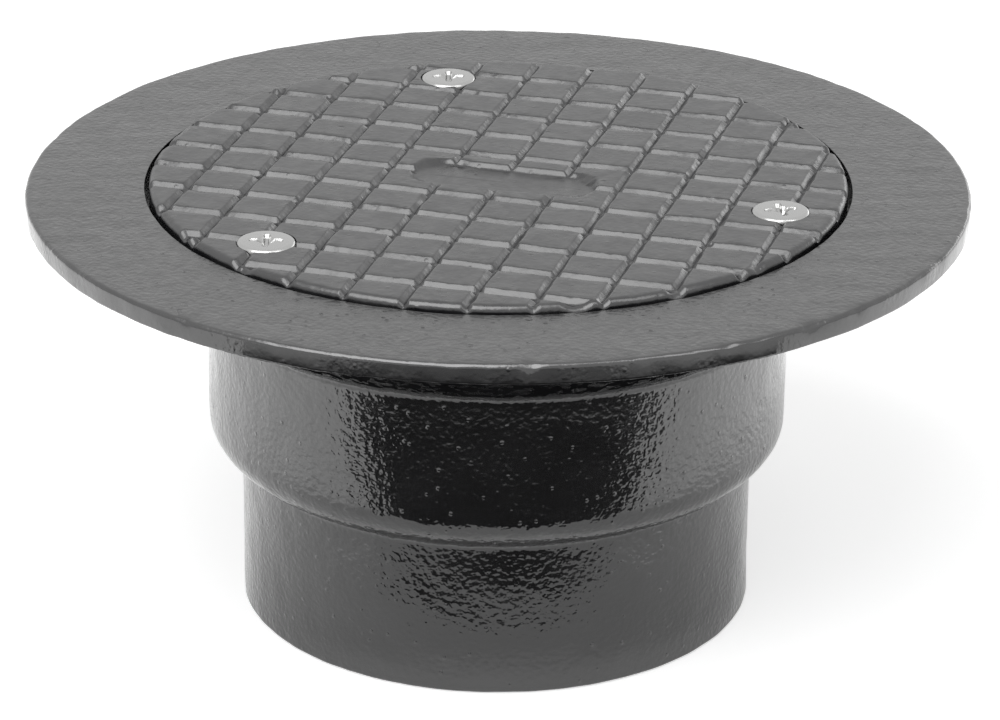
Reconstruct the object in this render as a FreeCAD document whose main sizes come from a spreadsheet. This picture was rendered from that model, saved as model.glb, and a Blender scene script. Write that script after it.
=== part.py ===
"""Floor cleanout: a coated cast-iron body with a screwed-down scoriated cover and an inner threaded plug.

Frame: millimetres, +Z up, origin at the centre of the spigot's lower end. The cover's pad rows run along X
and Y.
"""
import FreeCAD
import Part
import Sketcher
import math
import os

# Driving dimensions: name, value in millimetres or degrees, what it sets
SIZES = [
    ("spigot_radius", 56.4, "outer radius of the spigot, from the pipe size"),
    ("spigot_wall", 6.8, "wall of the spigot"),
    ("spigot_length", 35.1, "length of the spigot under the shoulder"),
    ("spigot_round", 1.0, "round on the spigot's outer lower edge"),
    ("shoulder_step", 7.2, "step out from the spigot to the upper neck"),
    ("shoulder_ease", 1.8, "shoulder round beyond that step"),
    ("shoulder_fillet", 2.0, "fillet between the shoulder and the spigot"),
    ("neck_wall", 5.6, "wall of the upper neck"),
    ("neck_depth", 24.8, "depth of the upper neck's top under the flange's top face"),
    ("funnel_wall", 9.5, "width of metal between the recess and the funnel's upper edge"),
    ("funnel_round", 2.0, "fillet between the funnel and the upper neck"),
    ("seat_width", 18.3, "width of the seat under the cover"),
    ("flange_width", 25.9, "width of the flange round the recess"),
    ("flange_top", 95.9, "height of the flange's top face over the spigot's end"),
    ("rim_depth", 4.8, "thickness of the flange at its rim"),
    ("rim_top_round", 1.2, "round on the rim's upper edge"),
    ("rim_under_round", 0.8, "round on the rim's lower edge"),
    ("web_depth", 6.6, "thickness of the flange at its root"),
    ("web_round", 6.0, "fillet between the flange's underside and the funnel"),
    ("recess_depth", 6.4, "depth of the cover's recess"),
    ("recess_round", 0.6, "round on the recess's lip"),
    ("cover_gap", 0.8, "gap round the cover"),
    ("cover_thickness", 8.0, "thickness of the cover over its pads"),
    ("cover_bevel", 0.65, "bevel on the cover's upper edge"),
    ("pad_pitch", 12.7, "spacing of the raised pads"),
    ("pad_shift_x", 1.5, "place of a groove to the right of the cover's centre"),
    ("pad_shift_y", -1.75, "place of a groove behind the cover's centre"),
    ("groove_width", 3.2, "width of a groove between the pads"),
    ("groove_floor", 1.45, "width of a groove's floor"),
    ("groove_depth", 1.5, "depth of a groove"),
    ("panel_length", 41.0, "length of the sunk panel at the cover's middle"),
    ("panel_width", 14.2, "width of the sunk panel"),
    ("screw_inset", 5.5, "distance of the screws' axes from the well's wall"),
    ("screw_turn", -3.6, "turn of the first screw from X, degrees"),
    ("screw_count", 3, "number of cover screws"),
    ("screw_radius", 3.15, "radius of a screw's shank"),
    ("screw_length", 19.05, "length of a screw under its head"),
    ("screw_tip", 0.8, "bevel on a screw's tip"),
    ("screw_run", 1.2, "depth of a tapped hole past the screw's tip"),
    ("head_radius", 6.2, "radius of a screw's head"),
    ("head_height", 1.3, "height of a screw's head"),
    ("head_round", 0.5, "round on a screw's head"),
    ("head_sink", 1.0, "depth of the round sinking under a screw's head"),
    ("sink_gap", 0.45, "gap round a screw's head in its sinking"),
    ("drive_span", 7.4, "span of the cross recess in a screw's head"),
    ("drive_width", 1.5, "width of an arm of the cross recess"),
    ("drive_depth", 0.9, "depth of the cross recess"),
    ("fit_gap", 0.3, "clearance round a thread or a screw"),
    ("ledge_rise", 10.9, "height of the plug's ledge over the shoulder's underside"),
    ("tapped_wall", 5.6, "wall left round the plug's thread"),
    ("thread_length", 12.7, "length of the plug's thread"),
    ("thread_run", 0.6, "length of the tapped ledge past the plug's thread"),
    ("seal_thickness", 2.0, "thickness of the plug's seal"),
    ("plug_rim_gap", 2.8, "gap round the plug's rim"),
    ("plug_rim", 4.0, "thickness of the plug's rim"),
    ("plug_wall", 5.0, "wall of the plug"),
    ("plug_round", 1.0, "round on the plug's rim"),
    ("lug_side", 28.6, "side of the plug's square lug"),
    ("lug_height", 14.0, "height of the plug's square lug"),
    ("lug_round", 3.0, "round on the lug's upright edges"),
    ("lug_top_round", 1.5, "round on the lug's upper edges"),
]

doc = FreeCAD.newDocument("FloorCleanout")
sheet = doc.addObject("Spreadsheet::Sheet", "Sizes")
for row, (alias, size, note) in enumerate(SIZES, start=1):
    sheet.set(f"A{row}", alias)
    sheet.set(f"B{row}", str(size))
    sheet.set(f"C{row}", note)
    sheet.setAlias(f"B{row}", alias)
doc.recompute()

# Heights and radii that several pieces share, worked out from the driving dimensions
SPIGOT = "Sizes.spigot_radius"
THROAT = f"{SPIGOT} - Sizes.spigot_wall"
NECK = f"{SPIGOT} + Sizes.shoulder_step"
WELL = f"{NECK} - Sizes.neck_wall"
RECESS = f"{WELL} + Sizes.seat_width"
FUNNEL = f"{RECESS} + Sizes.funnel_wall"
FLANGE = f"{RECESS} + Sizes.flange_width"
COVER = f"{RECESS} - Sizes.cover_gap"
SCREW_CIRCLE = f"{WELL} + Sizes.screw_inset"
SCREW_HOLE = "Sizes.screw_radius + Sizes.fit_gap"
TAPPED = f"{SPIGOT} - Sizes.tapped_wall"
THREAD = f"{TAPPED} - Sizes.fit_gap"
PLUG_RIM = f"{WELL} - Sizes.plug_rim_gap"
RIM_UNDER = "Sizes.flange_top - Sizes.rim_depth"
WEB_UNDER = "Sizes.flange_top - Sizes.web_depth"
NECK_TOP = "Sizes.flange_top - Sizes.neck_depth"
SEAT = "Sizes.flange_top - Sizes.recess_depth"
PAD_TOP = f"{SEAT} + Sizes.cover_thickness"
GROOVE_FLOOR = f"{PAD_TOP} - Sizes.groove_depth"
HEAD_SEAT = f"{PAD_TOP} - Sizes.head_sink"
SINKING = "Sizes.head_radius + Sizes.sink_gap"
SHOULDER_ARC = "Sizes.shoulder_step + Sizes.shoulder_ease"
SHOULDER_TOP = f"Sizes.spigot_length + sqrt(({SHOULDER_ARC})^2 - Sizes.shoulder_ease^2)"
LEDGE = "Sizes.spigot_length + Sizes.ledge_rise"
TAPPED_END = f"{LEDGE} - Sizes.thread_length - Sizes.thread_run"
PLUG_RIM_UNDER = f"{LEDGE} + Sizes.seal_thickness"
PLUG_RIM_TOP = f"{PLUG_RIM_UNDER} + Sizes.plug_rim"


def size(text):
    """Value of an expression on the sheet, as a plain number."""
    found = sheet.evalExpression(text)
    return float(getattr(found, "Value", found))


def new_body(label):
    body = doc.addObject("PartDesign::Body", label)
    body.Label = label
    return body


def origin_part(body, role):
    return next(item for item in body.Origin.OriginFeatures if item.Role == role)


def new_sketch(body, name, plane="XZ_Plane", height=None, turn=None):
    """Sketch on one of the body's planes, raised by height and turned about its normal by turn."""
    sketch = body.newObject("Sketcher::SketchObject", name)
    sketch.AttachmentSupport = [(origin_part(body, plane), "")]
    sketch.MapMode = "FlatFace"
    if height:
        sketch.setExpression("AttachmentOffset.Base.z", height)
    if turn:
        sketch.AttachmentOffset = FreeCAD.Placement(FreeCAD.Vector(), FreeCAD.Vector(0, 0, 1), 1)
        sketch.setExpression("AttachmentOffset.Rotation.Angle", turn)
    doc.recompute()
    return sketch


def bind(sketch, constraint, text):
    sketch.setExpression(f"Constraints[{sketch.addConstraint(constraint)}]", text)


def place(sketch, curve, end, texts):
    """Hold one point of a curve at the distances that two expressions give from the origin."""
    for kind, axis, text in (("DistanceX", -2, texts[0]), ("DistanceY", -1, texts[1])):
        if text == "0":
            sketch.addConstraint(Sketcher.Constraint("PointOnObject", curve, end, axis))
        elif size(text) < 0:
            bind(sketch, Sketcher.Constraint(kind, curve, end, -1, 1, -size(text)), f"-({text})")
        else:
            bind(sketch, Sketcher.Constraint(kind, -1, 1, curve, end, size(text)), text)


def outline(sketch, corners):
    """Closed outline through corners (x, y) or (x, y, radius); a radius bends the side that follows it.

    A positive radius bulges to the right of the way round, a negative one to the left.
    """
    spots = [FreeCAD.Vector(size(corner[0]), size(corner[1]), 0) for corner in corners]
    count = len(corners)
    for index, corner in enumerate(corners):
        start = spots[index]
        finish = spots[(index + 1) % count]
        if len(corner) == 2:
            sketch.addGeometry(Part.LineSegment(start, finish), False)
            continue
        radius = abs(size(corner[2]))
        chord = finish - start
        side = FreeCAD.Vector(chord.y, -chord.x, 0).normalize()
        rise = radius - math.sqrt(radius ** 2 - (chord.Length / 2) ** 2)
        middle = (start + finish) / 2 + side * math.copysign(rise, size(corner[2]))
        sketch.addGeometry(Part.Arc(start, middle, finish), False)
    for index, corner in enumerate(corners):
        bent = len(corner) == 3
        # An arc that runs clockwise is stored the other way round, so its ends swap
        curve = sketch.Geometry[index]
        first, last = 1, 2
        if bent and curve.StartPoint.distanceToPoint(spots[index]) > 1e-6:
            first, last = 2, 1
        place(sketch, index, first, corner[:2])
        following = (index + 1) % count
        joined = sketch.Geometry[following]
        entry = 1 if joined.StartPoint.distanceToPoint(spots[following]) < 1e-6 else 2
        sketch.addConstraint(Sketcher.Constraint("Coincident", index, last, following, entry))
        if bent:
            radius_text = corner[2].lstrip("-")
            bind(sketch, Sketcher.Constraint("Radius", index, curve.Radius), radius_text)
    doc.recompute()


def circle(sketch, radius, centre=("0", "0")):
    at = FreeCAD.Vector(size(centre[0]), size(centre[1]), 0)
    index = sketch.addGeometry(Part.Circle(at, FreeCAD.Vector(0, 0, 1), size(radius)), False)
    place(sketch, index, 3, centre)
    bind(sketch, Sketcher.Constraint("Radius", index, size(radius)), radius)
    doc.recompute()


def revolve(body, sketch):
    """Turn a sketch a full turn about its upright axis."""
    feature = body.newObject("PartDesign::Revolution", sketch.Name + "Turn")
    feature.Profile = sketch
    feature.ReferenceAxis = (sketch, ["V_Axis"])
    feature.Angle = 360
    doc.recompute()
    return feature


def pad(body, sketch, length):
    feature = body.newObject("PartDesign::Pad", sketch.Name + "Pad")
    feature.Profile = sketch
    feature.setExpression("Length", length)
    doc.recompute()
    return feature


def pocket(body, sketch, depth=None):
    """Cut a sketch into the body, against its normal, or right through both ways with no depth."""
    before = body.Shape.Volume
    feature = body.newObject("PartDesign::Pocket", sketch.Name + "Pocket")
    feature.Profile = sketch
    if depth:
        feature.setExpression("Length", depth)
    else:
        feature.Type = "ThroughAll"
        feature.Midplane = True
    doc.recompute()
    if body.Shape.Volume >= before:
        raise RuntimeError(f"{feature.Name} cuts nothing")
    return feature


def repeat_round(body, feature, count, angle=360):
    pattern = body.newObject("PartDesign::PolarPattern", feature.Name + "Round")
    pattern.Originals = [feature]
    pattern.Axis = (origin_part(body, "Z_Axis"), [""])
    pattern.Angle = angle
    pattern.setExpression("Occurrences", count)
    body.Tip = pattern
    doc.recompute()
    return pattern


def repeat_along(body, feature, axis, spacing, count):
    pattern = body.newObject("PartDesign::LinearPattern", feature.Name + "Row")
    pattern.Originals = [feature]
    pattern.Direction = (origin_part(body, axis), [""])
    pattern.Mode = "Spacing"
    pattern.setExpression("Offset", spacing)
    pattern.setExpression("Occurrences", count)
    body.Tip = pattern
    doc.recompute()
    return pattern


def ring_edges(feature, radius, height):
    """Names of the feature's round edges of one radius at one height."""
    names = []
    for number, edge in enumerate(feature.Shape.Edges, start=1):
        ring = edge.Curve
        if not isinstance(ring, Part.Circle):
            continue
        if abs(ring.Radius - size(radius)) < 1e-3 and abs(ring.Center.z - size(height)) < 1e-3:
            names.append(f"Edge{number}")
    return names


def edges_between(feature, low, high):
    """Names of the feature's edges that reach from one height to another, or lie at one height."""
    names = []
    for number, edge in enumerate(feature.Shape.Edges, start=1):
        box = edge.BoundBox
        if abs(box.ZMin - low) < 1e-3 and abs(box.ZMax - high) < 1e-3:
            names.append(f"Edge{number}")
    return names


def dress(body, kind, name, base, edges, text):
    """Fillet or chamfer on named edges of one feature."""
    feature = body.newObject(f"PartDesign::{kind}", name)
    feature.Base = (base, edges)
    feature.setExpression("Radius" if kind == "Fillet" else "Size", text)
    doc.recompute()
    return feature


def make_casting():
    """One casting: floor flange with the cover's recess, funnel, upper neck, shoulder and outlet spigot."""
    body = new_body("casting")
    section = new_sketch(body, "CastingSection")
    outline(section, [
        (THROAT, "0"),
        (SPIGOT, "0"),
        (SPIGOT, "Sizes.spigot_length", SHOULDER_ARC),
        (NECK, SHOULDER_TOP),
        (NECK, NECK_TOP),
        (FUNNEL, WEB_UNDER),
        (FLANGE, RIM_UNDER),
        (FLANGE, "Sizes.flange_top"),
        (RECESS, "Sizes.flange_top"),
        (RECESS, SEAT),
        (WELL, SEAT),
        (WELL, LEDGE),
        (TAPPED, LEDGE),
        (TAPPED, TAPPED_END),
        (THROAT, f"{TAPPED_END} - ({TAPPED} - ({THROAT}))"),
    ])
    feature = revolve(body, section)
    rounds = [
        ("RimTopRound", FLANGE, "Sizes.flange_top", "Sizes.rim_top_round"),
        ("RimUnderRound", FLANGE, RIM_UNDER, "Sizes.rim_under_round"),
        ("WebRound", FUNNEL, WEB_UNDER, "Sizes.web_round"),
        ("FunnelRound", NECK, NECK_TOP, "Sizes.funnel_round"),
        ("ShoulderFillet", SPIGOT, "Sizes.spigot_length", "Sizes.shoulder_fillet"),
        ("SpigotRound", SPIGOT, "0", "Sizes.spigot_round"),
        ("LipRound", RECESS, "Sizes.flange_top", "Sizes.recess_round"),
    ]
    for name, radius, height, text in rounds:
        feature = dress(body, "Fillet", name, feature, ring_edges(feature, radius, height), text)
    hole = new_sketch(body, "TappedHole", "XY_Plane", SEAT, "Sizes.screw_turn")
    circle(hole, SCREW_HOLE, (SCREW_CIRCLE, "0"))
    depth = "Sizes.screw_length + Sizes.head_sink - Sizes.cover_thickness + Sizes.screw_run"
    repeat_round(body, pocket(body, hole, depth), "Sizes.screw_count")
    return body


def cut_grooves(body, name, plane, axis, shift):
    """One family of parallel tapered grooves across the cover's top."""
    side_count = f"floor(({COVER}) / Sizes.pad_pitch)"
    first = f"{shift} - {side_count} * Sizes.pad_pitch"
    section = new_sketch(body, name, plane)
    outline(section, [
        (f"{first} - Sizes.groove_width / 2", PAD_TOP),
        (f"{first} - Sizes.groove_floor / 2", GROOVE_FLOOR),
        (f"{first} + Sizes.groove_floor / 2", GROOVE_FLOOR),
        (f"{first} + Sizes.groove_width / 2", PAD_TOP),
    ])
    repeat_along(body, pocket(body, section), axis, "Sizes.pad_pitch", f"2 * {side_count} + 1")


def make_cover():
    """One casting: round cover with pads between crossed grooves, a bare sunk panel and screw sinkings."""
    body = new_body("cover")
    disc = new_sketch(body, "CoverDisc", "XY_Plane", SEAT)
    circle(disc, COVER)
    plate = pad(body, disc, "Sizes.cover_thickness")
    dress(body, "Chamfer", "CoverBevel", plate, ring_edges(plate, COVER, PAD_TOP), "Sizes.cover_bevel")
    cut_grooves(body, "GrooveAlongY", "XZ_Plane", "X_Axis", "Sizes.pad_shift_x")
    cut_grooves(body, "GrooveAlongX", "YZ_Plane", "Y_Axis", "Sizes.pad_shift_y")
    panel = new_sketch(body, "SunkPanel", "XY_Plane", PAD_TOP)
    bend = "Sizes.panel_width / 2"
    left = "Sizes.pad_shift_x - Sizes.panel_length / 2"
    right = "Sizes.pad_shift_x + Sizes.panel_length / 2"
    near = f"Sizes.pad_shift_y - {bend}"
    far = f"Sizes.pad_shift_y + {bend}"
    outline(panel, [
        (f"{left} + {bend}", near),
        (f"{right} - {bend}", near, bend),
        (right, "Sizes.pad_shift_y", bend),
        (f"{right} - {bend}", far),
        (f"{left} + {bend}", far, bend),
        (left, "Sizes.pad_shift_y", bend),
    ])
    pocket(body, panel, "Sizes.groove_depth")
    boss = new_sketch(body, "HeadSeat", "XY_Plane", GROOVE_FLOOR, "Sizes.screw_turn")
    circle(boss, SINKING, (SCREW_CIRCLE, "0"))
    repeat_round(body, pad(body, boss, "Sizes.groove_depth - Sizes.head_sink"), "Sizes.screw_count")
    sinking = new_sketch(body, "HeadSinking", "XY_Plane", PAD_TOP, "Sizes.screw_turn")
    circle(sinking, SINKING, (SCREW_CIRCLE, "0"))
    repeat_round(body, pocket(body, sinking, "Sizes.head_sink"), "Sizes.screw_count")
    hole = new_sketch(body, "ScrewHole", "XY_Plane", PAD_TOP, "Sizes.screw_turn")
    circle(hole, SCREW_HOLE, (SCREW_CIRCLE, "0"))
    repeat_round(body, pocket(body, hole, "Sizes.cover_thickness"), "Sizes.screw_count")
    return body


def make_screw(number):
    """Machine screw with a low round head and a cross recess, made about its own axis and then placed."""
    body = new_body(f"cover_screw_{number}")
    section = new_sketch(body, f"ScrewSection{number}")
    outline(section, [
        ("0", "-Sizes.screw_length"),
        ("Sizes.screw_radius - Sizes.screw_tip", "-Sizes.screw_length"),
        ("Sizes.screw_radius", "Sizes.screw_tip - Sizes.screw_length"),
        ("Sizes.screw_radius", "0"),
        ("Sizes.head_radius", "0"),
        ("Sizes.head_radius", "Sizes.head_height"),
        ("0", "Sizes.head_height"),
    ])
    blank = revolve(body, section)
    edges = ring_edges(blank, "Sizes.head_radius", "Sizes.head_height")
    dress(body, "Fillet", f"HeadRound{number}", blank, edges, "Sizes.head_round")
    arm = new_sketch(body, f"DriveArm{number}", "XY_Plane", "Sizes.head_height")
    reach = "Sizes.drive_span / 2"
    half = "Sizes.drive_width / 2"
    outline(arm, [(f"-{reach}", f"-{half}"), (reach, f"-{half}"), (reach, half), (f"-{reach}", half)])
    repeat_round(body, pocket(body, arm, "Sizes.drive_depth"), "2", 90)
    turn = f"(Sizes.screw_turn + ({number} - 1) * 360 / Sizes.screw_count) * 1 deg"
    body.setExpression("Placement.Base.x", f"({SCREW_CIRCLE}) * cos({turn})")
    body.setExpression("Placement.Base.y", f"({SCREW_CIRCLE}) * sin({turn})")
    body.setExpression("Placement.Base.z", HEAD_SEAT)
    return body


def make_plug():
    """Hollow screw plug: threaded cup under a round rim, with a raised square lug for the wrench."""
    body = new_body("plug")
    section = new_sketch(body, "PlugSection")
    cup = f"{THREAD} - Sizes.plug_wall"
    cup_roof = f"{PLUG_RIM_TOP} - Sizes.plug_wall"
    foot = f"{LEDGE} - Sizes.thread_length"
    outline(section, [
        ("0", cup_roof),
        (cup, cup_roof),
        (cup, foot),
        (THREAD, foot),
        (THREAD, PLUG_RIM_UNDER),
        (PLUG_RIM, PLUG_RIM_UNDER),
        (PLUG_RIM, PLUG_RIM_TOP),
        ("0", PLUG_RIM_TOP),
    ])
    blank = revolve(body, section)
    dress(body, "Fillet", "PlugRound", blank, ring_edges(blank, PLUG_RIM, PLUG_RIM_TOP), "Sizes.plug_round")
    square = new_sketch(body, "LugSquare", "XY_Plane", PLUG_RIM_TOP)
    half = "Sizes.lug_side / 2"
    outline(square, [(f"-{half}", f"-{half}"), (half, f"-{half}"), (half, half), (f"-{half}", half)])
    lug = pad(body, square, "Sizes.lug_height")
    foot_height = size(PLUG_RIM_TOP)
    top_height = size(f"{PLUG_RIM_TOP} + Sizes.lug_height")
    upright = edges_between(lug, foot_height, top_height)
    lug = dress(body, "Fillet", "LugRound", lug, upright, "Sizes.lug_round")
    top_edges = edges_between(lug, top_height, top_height)
    dress(body, "Fillet", "LugTopRound", lug, top_edges, "Sizes.lug_top_round")
    return body


def make_seal():
    """Flat rubber ring, held on the plug under its rim and pressed on the ledge."""
    body = new_body("plug_seal")
    section = new_sketch(body, "SealSection")
    top = PLUG_RIM_UNDER
    outline(section, [(TAPPED, LEDGE), (PLUG_RIM, LEDGE), (PLUG_RIM, top), (TAPPED, top)])
    revolve(body, section)
    return body


def write_nodes(bodies):
    """Check every object and solid, then write one file for each node."""
    doc.recompute()
    for item in doc.Objects:
        if "Invalid" in item.State or "Error" in item.State:
            raise RuntimeError(f"{item.Name}: {item.State}")
    for body in bodies:
        if body.Shape.isNull() or not body.Shape.isValid():
            raise RuntimeError(f"{body.Label}: no valid solid")
    os.makedirs("parts", exist_ok=True)
    for body in bodies:
        body.Shape.exportStep(f"parts/{body.Label}.step")


pieces = [make_casting(), make_cover()]
pieces += [make_screw(number) for number in range(1, int(size("Sizes.screw_count")) + 1)]
pieces += [make_plug(), make_seal()]
write_nodes(pieces)
for piece in pieces:
    print(piece.Label, round(piece.Shape.Volume), len(piece.Shape.Solids), piece.Shape.BoundBox)
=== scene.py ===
"""Floor cleanout of black coated cast iron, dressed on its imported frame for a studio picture."""
import bmesh
import bpy
import math
import numpy as np
from mathutils import Matrix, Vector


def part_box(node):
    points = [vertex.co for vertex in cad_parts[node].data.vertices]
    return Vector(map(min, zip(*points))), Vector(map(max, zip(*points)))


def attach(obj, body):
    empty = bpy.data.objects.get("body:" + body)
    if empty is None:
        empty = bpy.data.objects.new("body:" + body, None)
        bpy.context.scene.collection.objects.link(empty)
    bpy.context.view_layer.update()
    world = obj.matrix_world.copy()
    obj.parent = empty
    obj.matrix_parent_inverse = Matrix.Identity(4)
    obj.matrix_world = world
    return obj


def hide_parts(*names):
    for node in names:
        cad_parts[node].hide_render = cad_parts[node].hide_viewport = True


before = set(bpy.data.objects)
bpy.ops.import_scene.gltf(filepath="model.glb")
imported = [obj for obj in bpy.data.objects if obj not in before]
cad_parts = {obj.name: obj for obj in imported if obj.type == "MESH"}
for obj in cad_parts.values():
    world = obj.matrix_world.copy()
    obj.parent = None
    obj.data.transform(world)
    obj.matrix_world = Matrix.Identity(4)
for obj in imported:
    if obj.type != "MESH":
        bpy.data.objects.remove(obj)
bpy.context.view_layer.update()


# Body casting
# The body is one sand casting of grey iron: floor flange with the cover's recess, funnel, upper neck, rounded
# shoulder and straight spigot. It was fettled at the rim, tapped for the plug and the cover screws, then
# dipped in a black coating that ran smooth on the neck and kept the sand's grain elsewhere.
mm = 0.001
iron_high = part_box("casting")[1]
cover_low, cover_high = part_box("cover")
seal_low, seal_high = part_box("plug_seal")
flange_radius = iron_high.x
flange_top = iron_high.z
seat_height = cover_low.z
cover_radius = cover_high.x
cover_gap = 0.8 * mm
recess_radius = cover_radius + cover_gap
recess_round = 0.3 * mm
rim_top_round = 1.2 * mm
rim_under = flange_top - 4.8 * mm
rim_under_round = 0.8 * mm
web_under = flange_top - 6.6 * mm
web_round = 6.0 * mm
funnel_radius = recess_radius + 9.5 * mm
neck_radius = 63.6 * mm
neck_top = flange_top - 24.8 * mm
neck_round = 2.6 * mm
shoulder_radius = 9.0 * mm
shoulder_fillet = 2.0 * mm
spigot_radius = 56.4 * mm
spigot_length = 35.1 * mm
spigot_round = 1.0 * mm
throat_radius = 49.6 * mm
tapped_radius = 50.8 * mm
ledge_height = seal_low.z
ledge_round = 2.0 * mm
tapped_end = ledge_height - 13.3 * mm
thread_lead = 1.2 * mm
thread_pitch = 3.175 * mm
thread_height = 0.9 * mm
thread_stop = 0.2 * mm
well_radius = 58.0 * mm
screw_names = sorted(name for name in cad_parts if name.startswith("cover_screw_"))
screw_axes = np.array([np.add(*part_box(name))[:2] for name in screw_names]) / 2
screw_turn = math.atan2(screw_axes[0][1], screw_axes[0][0])
screw_circle = float(np.hypot(*screw_axes[0]))
screw_hole = 3.45 * mm
hole_run = 1.2 * mm
hole_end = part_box(screw_names[0])[0].z - hole_run

# Mesh: points round the axis, longest steps along the outlines, and the distances that count as one place
around = 450
skin_step = 2.4 * mm
thread_step = 0.4 * mm
throat_step = 4 * mm
well_step = 3 * mm
seat_steps = 8
arc_cut = math.radians(18)
weld = 0.002 * mm
touch = 0.01 * mm


def rounded_path(corners, step):
    """Points along an outline of (radius, height, round) corners.

    Each corner with a round is turned by a circular arc that touches both its sides, and each straight run is
    cut into equal lengths no longer than step.
    """
    spots = np.array([corner[:2] for corner in corners])
    keys = [spots[0]]
    for before, spot, after, (*_, bow) in zip(spots, spots[1:], spots[2:], corners[1:]):
        if bow == 0:
            keys.append(spot)
            continue
        back = (before - spot) / np.linalg.norm(before - spot)
        on = (after - spot) / np.linalg.norm(after - spot)
        half = np.arccos(np.clip(back @ on, -1, 1)) / 2
        bend = math.pi - 2 * half
        reach = bow / np.tan(half)
        centre = spot + (back + on) / np.linalg.norm(back + on) * bow / np.sin(half)
        first = spot + back * reach - centre
        last = spot + on * reach - centre
        share = np.linspace(0, 1, 3 + math.ceil(bend / arc_cut))[:, None]
        arc = np.sin((1 - share) * bend) * first + np.sin(share * bend) * last
        keys.extend(centre + arc / np.sin(bend))
    keys.append(spots[-1])
    keys = np.array(keys)
    runs = np.linalg.norm(np.diff(keys, axis=0), axis=1)
    cuts = [np.linspace(a, b, max(1, math.ceil(run / step)), endpoint=False)
            for a, b, run in zip(keys, keys[1:], runs)]
    return np.concatenate(cuts + [keys[-1:]])


def turned(path, angles):
    """Surface of revolution: each point of the path carried round the upright axis, one column per angle."""
    radius = path[:, :1]
    return np.stack([radius * np.cos(angles), radius * np.sin(angles),
                     np.repeat(path[:, 1:], len(angles), axis=1)], axis=-1)


def turned_normals(path, angles):
    """Directions square to such a surface: the path's tangent turned a quarter, carried round the axis."""
    along = np.gradient(path, axis=0)
    out = np.stack([-along[:, 1], along[:, 0]], axis=1)
    out /= np.maximum(np.linalg.norm(out, axis=1, keepdims=True), 1e-12)
    return turned(out, angles)


def cast_skin(points, depth, shortest, longest, waves, seed):
    """Unevenness of a sand mould: a sum of plane waves in random directions, from shortest to longest."""
    dice = np.random.default_rng(seed)
    heading = dice.normal(size=(3, waves))
    heading /= np.linalg.norm(heading, axis=0)
    turns = points @ (heading / np.geomspace(shortest, longest, waves))
    return depth * np.sqrt(2 / waves) * np.sin(2 * math.pi * (turns + dice.random(waves))).sum(axis=-1)


def ridge(height, angles, pitch):
    """Screw thread: a rounded ridge that climbs one pitch a turn, from 0 in the root to 1 on the crest."""
    return 0.5 - 0.5 * np.cos(2 * math.pi * (height / pitch - angles / (2 * math.pi)))


def quads(rows, columns, first, closed):
    """Corner numbers of the faces of a grid whose first point has the given number."""
    number = first + np.arange(rows * columns).reshape(rows, columns)
    if closed:
        number = np.concatenate([number, number[:, :1]], axis=1)
    corners = [number[:-1, :-1], number[:-1, 1:], number[1:, 1:], number[1:, :-1]]
    return np.stack(corners, axis=-1).reshape(-1, 4)


def put(name, data):
    """Object of that name in the scene, at the origin."""
    thing = bpy.data.objects.new(name, data)
    bpy.context.scene.collection.objects.link(thing)
    return thing


def finish_mesh(name, points, faces, sharp):
    """Piece from points and faces: seams merged, faces outwards, smooth up to an angle in degrees."""
    mesh = bpy.data.meshes.new(name)
    mesh.from_pydata(points.tolist(), [], faces.tolist())
    work = bmesh.new()
    work.from_mesh(mesh)
    bmesh.ops.remove_doubles(work, verts=work.verts, dist=weld)
    bmesh.ops.recalc_face_normals(work, faces=work.faces)
    work.to_mesh(mesh)
    work.free()
    mesh.polygons.foreach_set("use_smooth", np.ones(len(mesh.polygons), bool))
    mesh.set_sharp_from_angle(angle=math.radians(sharp))
    return put(name, mesh)


def sew(name, patches, sharp=40):
    """One closed piece from grids of points, each with whether it closes round."""
    points = np.concatenate([grid.reshape(-1, 3) for grid, _ in patches])
    firsts = np.cumsum([0] + [grid.shape[0] * grid.shape[1] for grid, _ in patches])
    faces = np.concatenate([quads(*grid.shape[:2], first, closed)
                            for (grid, closed), first in zip(patches, firsts)])
    return finish_mesh(name, points, faces, sharp)


def linear(code):
    """Linear colour of an sRGB hex value."""
    parts = np.array([int(code[at:at + 2], 16) for at in (1, 3, 5)]) / 255
    parts = np.where(parts <= 0.04045, parts / 12.92, ((parts + 0.055) / 1.055) ** 2.4)
    return (*parts.tolist(), 1.0)


def add(tree, kind, inputs=(), **settings):
    """One node with its settings; an input is a socket's name or number with a value or a node's output."""
    made = tree.nodes.new(kind)
    for key, value in settings.items():
        setattr(made, key, value)
    for socket, value in dict(inputs).items():
        if isinstance(value, bpy.types.NodeSocket):
            tree.links.new(value, made.inputs[socket])
        else:
            made.inputs[socket].default_value = value
    return made


def new_material(name):
    """Node material with an empty tree, and that tree."""
    material = bpy.data.materials.new(name)
    material.use_nodes = True
    material.node_tree.nodes.clear()
    return material, material.node_tree


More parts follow.
